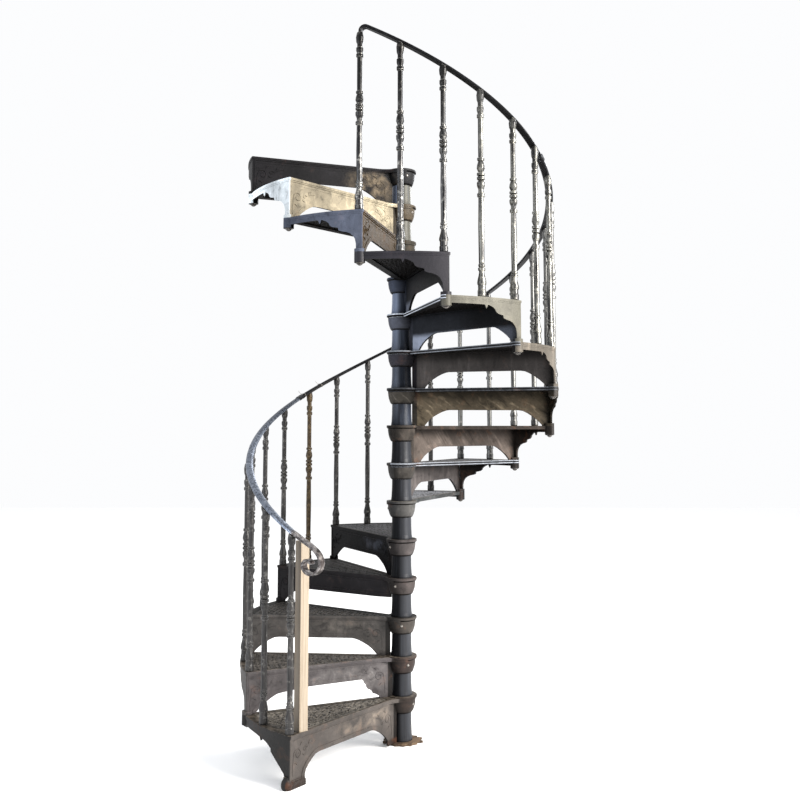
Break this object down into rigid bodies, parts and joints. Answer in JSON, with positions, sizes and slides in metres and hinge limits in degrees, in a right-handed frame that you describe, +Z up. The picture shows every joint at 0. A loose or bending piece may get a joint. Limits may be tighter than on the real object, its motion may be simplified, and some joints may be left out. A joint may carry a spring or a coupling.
{
  "type": "spiral staircase",
  "caption": "Cast iron spiral staircase: wedge steps with pierced treads and arched risers round a sleeved column, turned balusters, scrolled handrail and a timber prop.",
  "frame": {"origin": "on the floor, at the column's axis, under the centre of the floor plate", "axes": "+Z up along the column; -Y towards the picture's viewer; +X to the viewer's right"},
  "size_m": [1.7172, 1.7165, 3.5938],
  "materials": {
    "cast_steps": "weathered, brown-grey with rust",
    "treads": "pierced, worn dark with dusty highlights",
    "column": "worn slate-blue paint",
    "balusters": "worn, dark with bare bright edges",
    "handrail": "hand-polished top over dark iron",
    "floor_plate": "heavily rusted",
    "timber": "rough-sawn pale softwood"
  },
  "bodies": {
    "root": {"balusters_01_03": "balusters", "balusters_04_06": "balusters", "balusters_07_09": "balusters", "balusters_10_11": "balusters", "balusters_12_13": "balusters", "centre_pole": "column", "column_sleeves_lower": "column", "column_sleeves_upper": "column", "floor_plate": "floor_plate", "handrail_back": "handrail", "handrail_foot": "handrail", "handrail_head": "handrail", "handrail_left": "handrail", "pole_cap": "column", "step_01": "cast_steps", "step_02": "cast_steps", "step_03": "cast_steps", "step_04": "cast_steps", "step_05": "cast_steps", "step_06": "cast_steps", "step_07": "cast_steps", "step_08": "cast_steps", "step_09": "cast_steps", "step_10": "cast_steps", "step_11": "cast_steps", "step_12": "cast_steps", "step_13": "cast_steps", "step_14": "cast_steps", "step_15": "cast_steps", "timber_post": "timber", "tread_01": "treads", "tread_02": "treads", "tread_03": "treads", "tread_04": "treads", "tread_05": "treads", "tread_06": "treads", "tread_07": "treads", "tread_08": "treads", "tread_09": "treads", "tread_10": "treads", "tread_11": "treads", "tread_12": "treads", "tread_13": "treads", "tread_14": "treads", "tread_15": "treads"}
  },
  "joints": []
}
